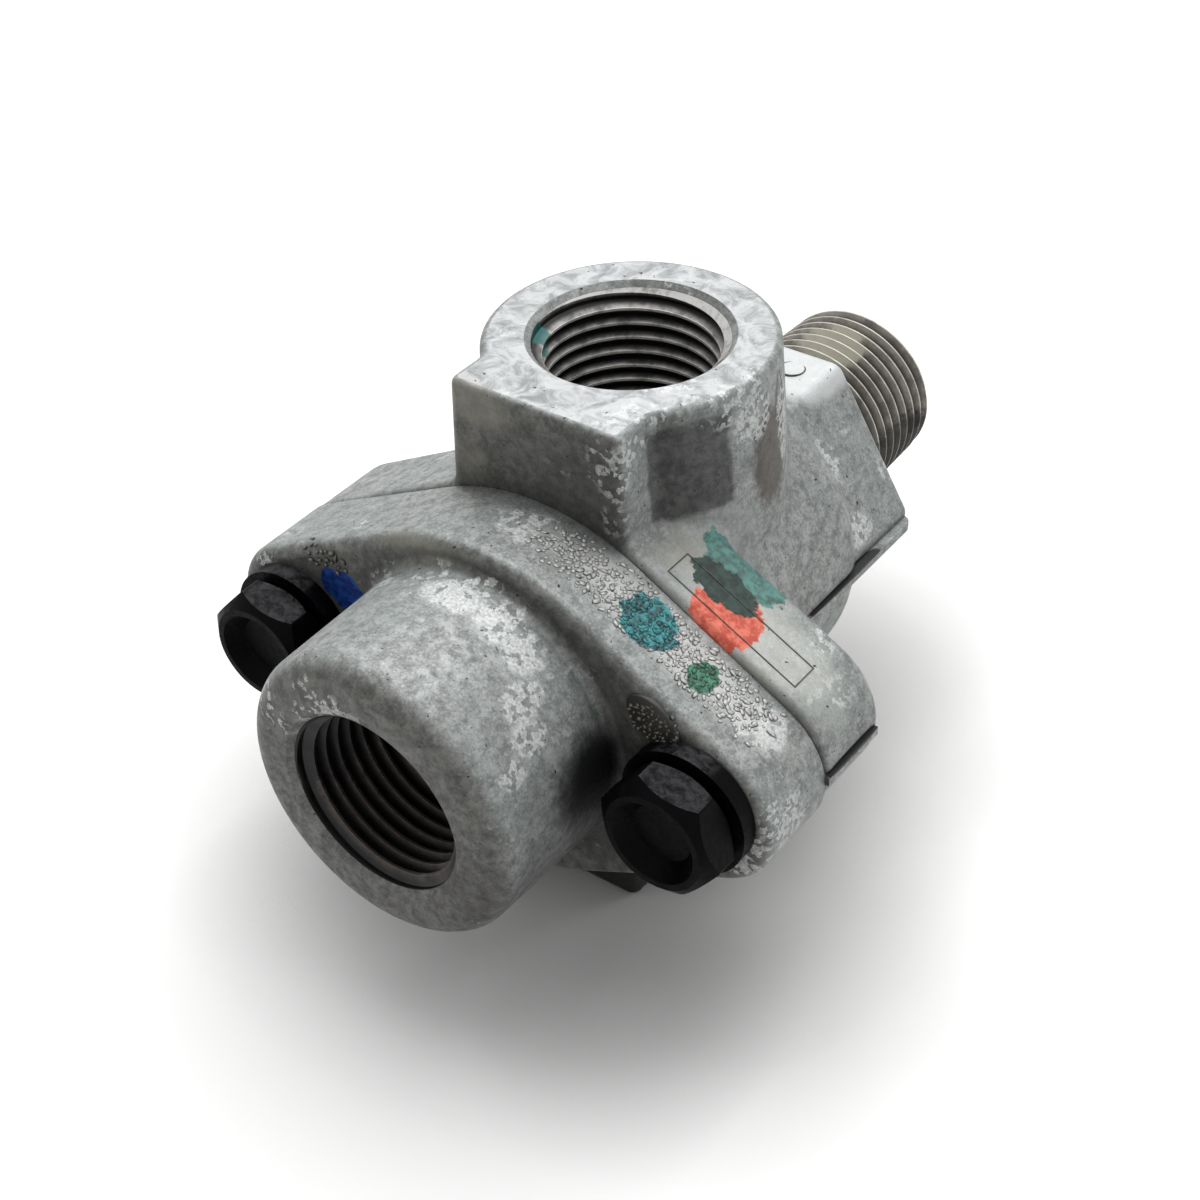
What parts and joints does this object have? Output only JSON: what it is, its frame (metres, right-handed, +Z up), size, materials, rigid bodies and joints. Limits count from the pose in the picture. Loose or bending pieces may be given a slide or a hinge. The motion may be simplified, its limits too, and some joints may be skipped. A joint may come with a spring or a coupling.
{
  "type": "double non-return valve",
  "caption": "Cast shuttle valve: eared cover on cap screws, tapped supply port in front, threaded nipple behind, tapped delivery port on top.",
  "frame": {"origin": "centre of the foot's underside, below the delivery port", "axes": "+Z up along the delivery port, +Y along the main axis towards the nipple, the cover faces -Y"},
  "size_m": [0.0574, 0.0761, 0.0505],
  "materials": {
    "casting": "die-cast, mottled and worn",
    "screw_steel": "black phosphate",
    "seal_rubber": "moulded",
    "guide_plastic": "moulded",
    "shuttle_brass": "turned"
  },
  "bodies": {
    "housing": {"valve_body": "casting", "cover": "casting", "cover_seal_ring": "seal_rubber", "shuttle_guide": "guide_plastic", "cap_screw_left": "screw_steel", "cap_screw_right": "screw_steel", "lock_washer_left": "screw_steel", "lock_washer_right": "screw_steel"},
    "shuttle": {"shuttle": "shuttle_brass", "shuttle_seal_front": "seal_rubber", "shuttle_seal_rear": "seal_rubber"}
  },
  "joints": [
    {"name": "shuttle_slide", "type": "slide", "parent": "housing", "child": "shuttle", "axis": [0, 1, 0], "range_m": [0, 0.0046]}
  ]
}
